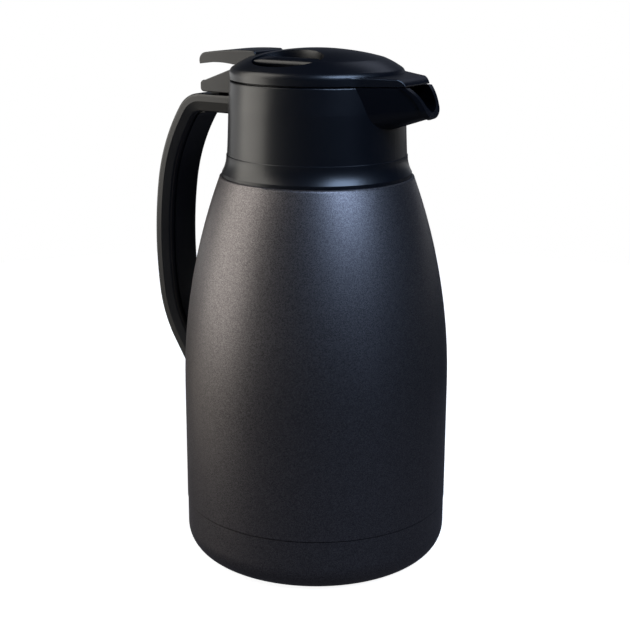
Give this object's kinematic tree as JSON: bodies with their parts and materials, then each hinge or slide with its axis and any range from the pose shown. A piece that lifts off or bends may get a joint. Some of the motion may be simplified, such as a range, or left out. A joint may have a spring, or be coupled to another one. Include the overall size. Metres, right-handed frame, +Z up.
{
  "type": "thermal jug",
  "caption": "Insulated serving jug with a steel body, side handle, hinged domed lid, thumb pour lever and squeeze releases.",
  "frame": {"origin": "centre of the base, on the face that the jug stands on", "axes": "+Z up along the body's axis, +X towards the spout, the handle is at -X"},
  "size_m": [0.1805, 0.15, 0.2872],
  "materials": {
    "graphite_paint": "matt fine metallic graphite paint on steel",
    "bottle_steel": "drawn stainless steel, satin",
    "getter_pellet": "pressed metal pellet",
    "pad_rubber": "matt soft rubber",
    "black_moulding": "black satin moulded polypropylene",
    "inner_moulding": "black moulded polypropylene, food side",
    "silicone": "grey food silicone",
    "pin_steel": "ground stainless rod and spring wire",
    "screw_steel": "plain stainless screws"
  },
  "bodies": {
    "jug_body": {"outer_shell": "graphite_paint", "inner_bottle": "bottle_steel", "vacuum_base_plate": "bottle_steel", "getter": "getter_pellet", "base_cap": "graphite_paint", "base_pad": "pad_rubber", "neck_collar": "black_moulding", "mouth_gasket": "silicone", "handle": "black_moulding", "handle_inner_cover": "black_moulding", "handle_bracket": "bottle_steel", "handle_lower_screw": "screw_steel", "handle_upper_screws": "screw_steel"},
    "lid": {"lid_cover": "black_moulding", "lid_base": "inner_moulding", "lid_seal": "silicone", "hinge_block": "black_moulding", "hinge_screws": "screw_steel", "hinge_pin": "pin_steel", "lever_pin": "pin_steel", "lid_screws": "screw_steel", "stopper_body": "inner_moulding", "stopper_gasket": "silicone", "stopper_screws": "screw_steel", "valve_spring": "pin_steel", "release_spring_left": "pin_steel", "release_spring_right": "pin_steel"},
    "pour_lever": {"pour_lever": "black_moulding"},
    "valve": {"valve_stem": "inner_moulding", "valve_disc": "silicone", "stem_cap": "inner_moulding"},
    "release_pad_left": {"release_pad_left": "black_moulding"},
    "release_pad_right": {"release_pad_right": "black_moulding"}
  },
  "joints": [
    {"name": "lid_hinge", "type": "hinge", "parent": "jug_body", "child": "lid", "pos_m": [-0.0654, 0, 0.2655], "axis": [0, -1, 0], "range_deg": [0, 90]},
    {"name": "pour_lever", "type": "hinge", "parent": "lid", "child": "pour_lever", "pos_m": [-0.04, 0, 0.276], "axis": [0, -1, 0], "range_deg": [0, 8.6]},
    {"name": "valve_lift", "type": "slide", "parent": "lid", "child": "valve", "axis": [0, 0, 1], "range_m": [0, 0.0057], "stiffness_N_per_m": 120, "springref_m": -0.008, "deforming": ["valve_spring"]},
    {"name": "release_pad_right", "type": "slide", "parent": "lid", "child": "release_pad_right", "axis": [0, 1, 0], "range_m": [0, 0.0035], "stiffness_N_per_m": 300, "springref_m": -0.002, "deforming": ["release_spring_right"]},
    {"name": "release_pad_left", "type": "slide", "parent": "lid", "child": "release_pad_left", "axis": [0, -1, 0], "range_m": [0, 0.0035], "stiffness_N_per_m": 300, "springref_m": -0.002, "deforming": ["release_spring_left"]}
  ],
  "couplings": [
    {"joint": "pour_lever", "follows": "valve_lift", "rad_per_m": 25.974}
  ]
}
